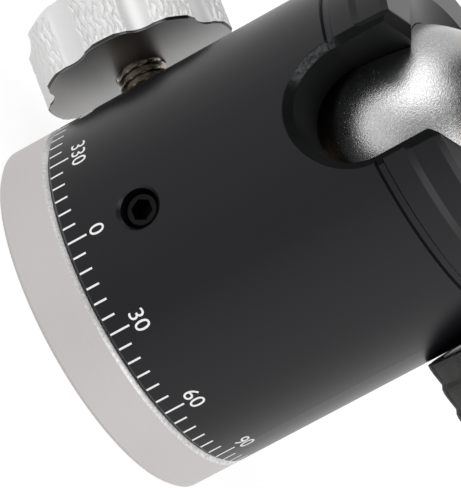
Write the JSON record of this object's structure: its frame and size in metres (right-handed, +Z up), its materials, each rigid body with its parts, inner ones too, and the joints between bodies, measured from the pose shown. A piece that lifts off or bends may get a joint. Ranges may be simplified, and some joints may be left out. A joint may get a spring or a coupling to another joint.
{
  "type": "tripod ball head",
  "caption": "Tripod ball head: panning base with a degree scale, notched housing with a locking ball, and a screw-knob quick-release clamp on the stem.",
  "frame": {"origin": "centre of the underside, at the mouth of the tripod socket", "axes": "+Z up along the panning axis, -Y towards the drop notch, pan lock on -X"},
  "size_m": [0.0915, 0.068, 0.1018],
  "materials": {
    "silver_aluminium": "satin turned",
    "plain_aluminium": "machined",
    "black_anodised": "fine satin anodised",
    "satin_ball": "satin, finely blasted",
    "stainless_steel": "turned",
    "dark_steel": "oiled black",
    "spring_steel": "bright",
    "bronze": "turned",
    "white_plastic": "smooth",
    "brown_plastic": "smooth",
    "grip_rubber": "grained",
    "level_fluid": "clear"
  },
  "bodies": {
    "base": {"base_plate": "silver_aluminium", "base_bushing": "stainless_steel", "pan_washer": "white_plastic"},
    "housing": {"housing": "black_anodised", "pan_sleeve": "bronze", "guide_screws": "dark_steel", "lock_bushing": "stainless_steel", "seat_plate": "plain_aluminium", "disc_springs": "spring_steel", "thrust_ring": "bronze"},
    "ball_cup": {"ball_cup": "white_plastic"},
    "ball": {"ball_stem": "satin_ball"},
    "pan_pad": {"pan_pad": "white_plastic"},
    "pan_knob": {"pan_stud": "dark_steel", "pan_knob": "silver_aluminium", "pan_knob_cap": "silver_aluminium"},
    "brake_shoe": {"brake_shoe": "brown_plastic"},
    "main_knob": {"main_stud": "dark_steel", "main_knob_core": "black_anodised", "main_knob_grip": "grip_rubber", "main_knob_cap": "black_anodised"},
    "platform": {"clamp_base": "black_anodised", "platform_screw": "dark_steel", "guide_pins": "stainless_steel", "level_vial": "level_fluid", "jaw_springs": "spring_steel"},
    "jaw": {"clamp_jaw": "black_anodised"},
    "clamp_knob": {"clamp_screw": "dark_steel", "clamp_washer": "stainless_steel", "clamp_knob": "silver_aluminium"}
  },
  "joints": [
    {"name": "pan_turn", "type": "hinge", "parent": "base", "child": "housing", "pos_m": [0, 0, 0.0084], "axis": [0, 0, 1], "continuous": true},
    {"name": "pan_pad_slide", "type": "slide", "parent": "housing", "child": "pan_pad", "axis": [1, 0, 0], "range_m": [-0.00094, 0.00021]},
    {"name": "pan_knob_turn", "type": "hinge", "parent": "pan_pad", "child": "pan_knob", "pos_m": [-0.038, 0, 0.0194], "axis": [1, 0, 0], "range_deg": [-270, 60]},
    {"name": "brake_shoe_slide", "type": "slide", "parent": "housing", "child": "brake_shoe", "axis": [-0.9135, -0.4067, 0], "range_m": [-0.00094, 0.00021]},
    {"name": "main_knob_turn", "type": "hinge", "parent": "brake_shoe", "child": "main_knob", "pos_m": [0.03472, 0.01546, 0.0544], "axis": [-0.9135, -0.4067, 0], "range_deg": [-270, 60]},
    {"name": "ball_lean", "type": "hinge", "parent": "housing", "child": "ball_cup", "pos_m": [0, 0, 0.0552], "axis": [0, 1, 0], "range_deg": [-27, 27]},
    {"name": "ball_drop", "type": "hinge", "parent": "ball_cup", "child": "ball", "pos_m": [0, 0, 0.0552], "axis": [1, 0, 0], "range_deg": [-27, 90]},
    {"name": "platform_turn", "type": "hinge", "parent": "ball", "child": "platform", "pos_m": [0, 0, 0.0552], "axis": [0, 0, 1], "continuous": true},
    {"name": "jaw_slide", "type": "slide", "parent": "platform", "child": "jaw", "axis": [0, -1, 0], "range_m": [-0.005, 0]},
    {"name": "clamp_knob_turn", "type": "hinge", "parent": "jaw", "child": "clamp_knob", "pos_m": [0, 0.034, 0.0919], "axis": [0, -1, 0], "range_deg": [-1800, 0]}
  ],
  "couplings": [
    {"joint": "pan_knob_turn", "follows": "pan_pad_slide", "rad_per_m": 5026.5},
    {"joint": "main_knob_turn", "follows": "brake_shoe_slide", "rad_per_m": 5026.5},
    {"joint": "clamp_knob_turn", "follows": "jaw_slide", "rad_per_m": 6283.2}
  ]
}
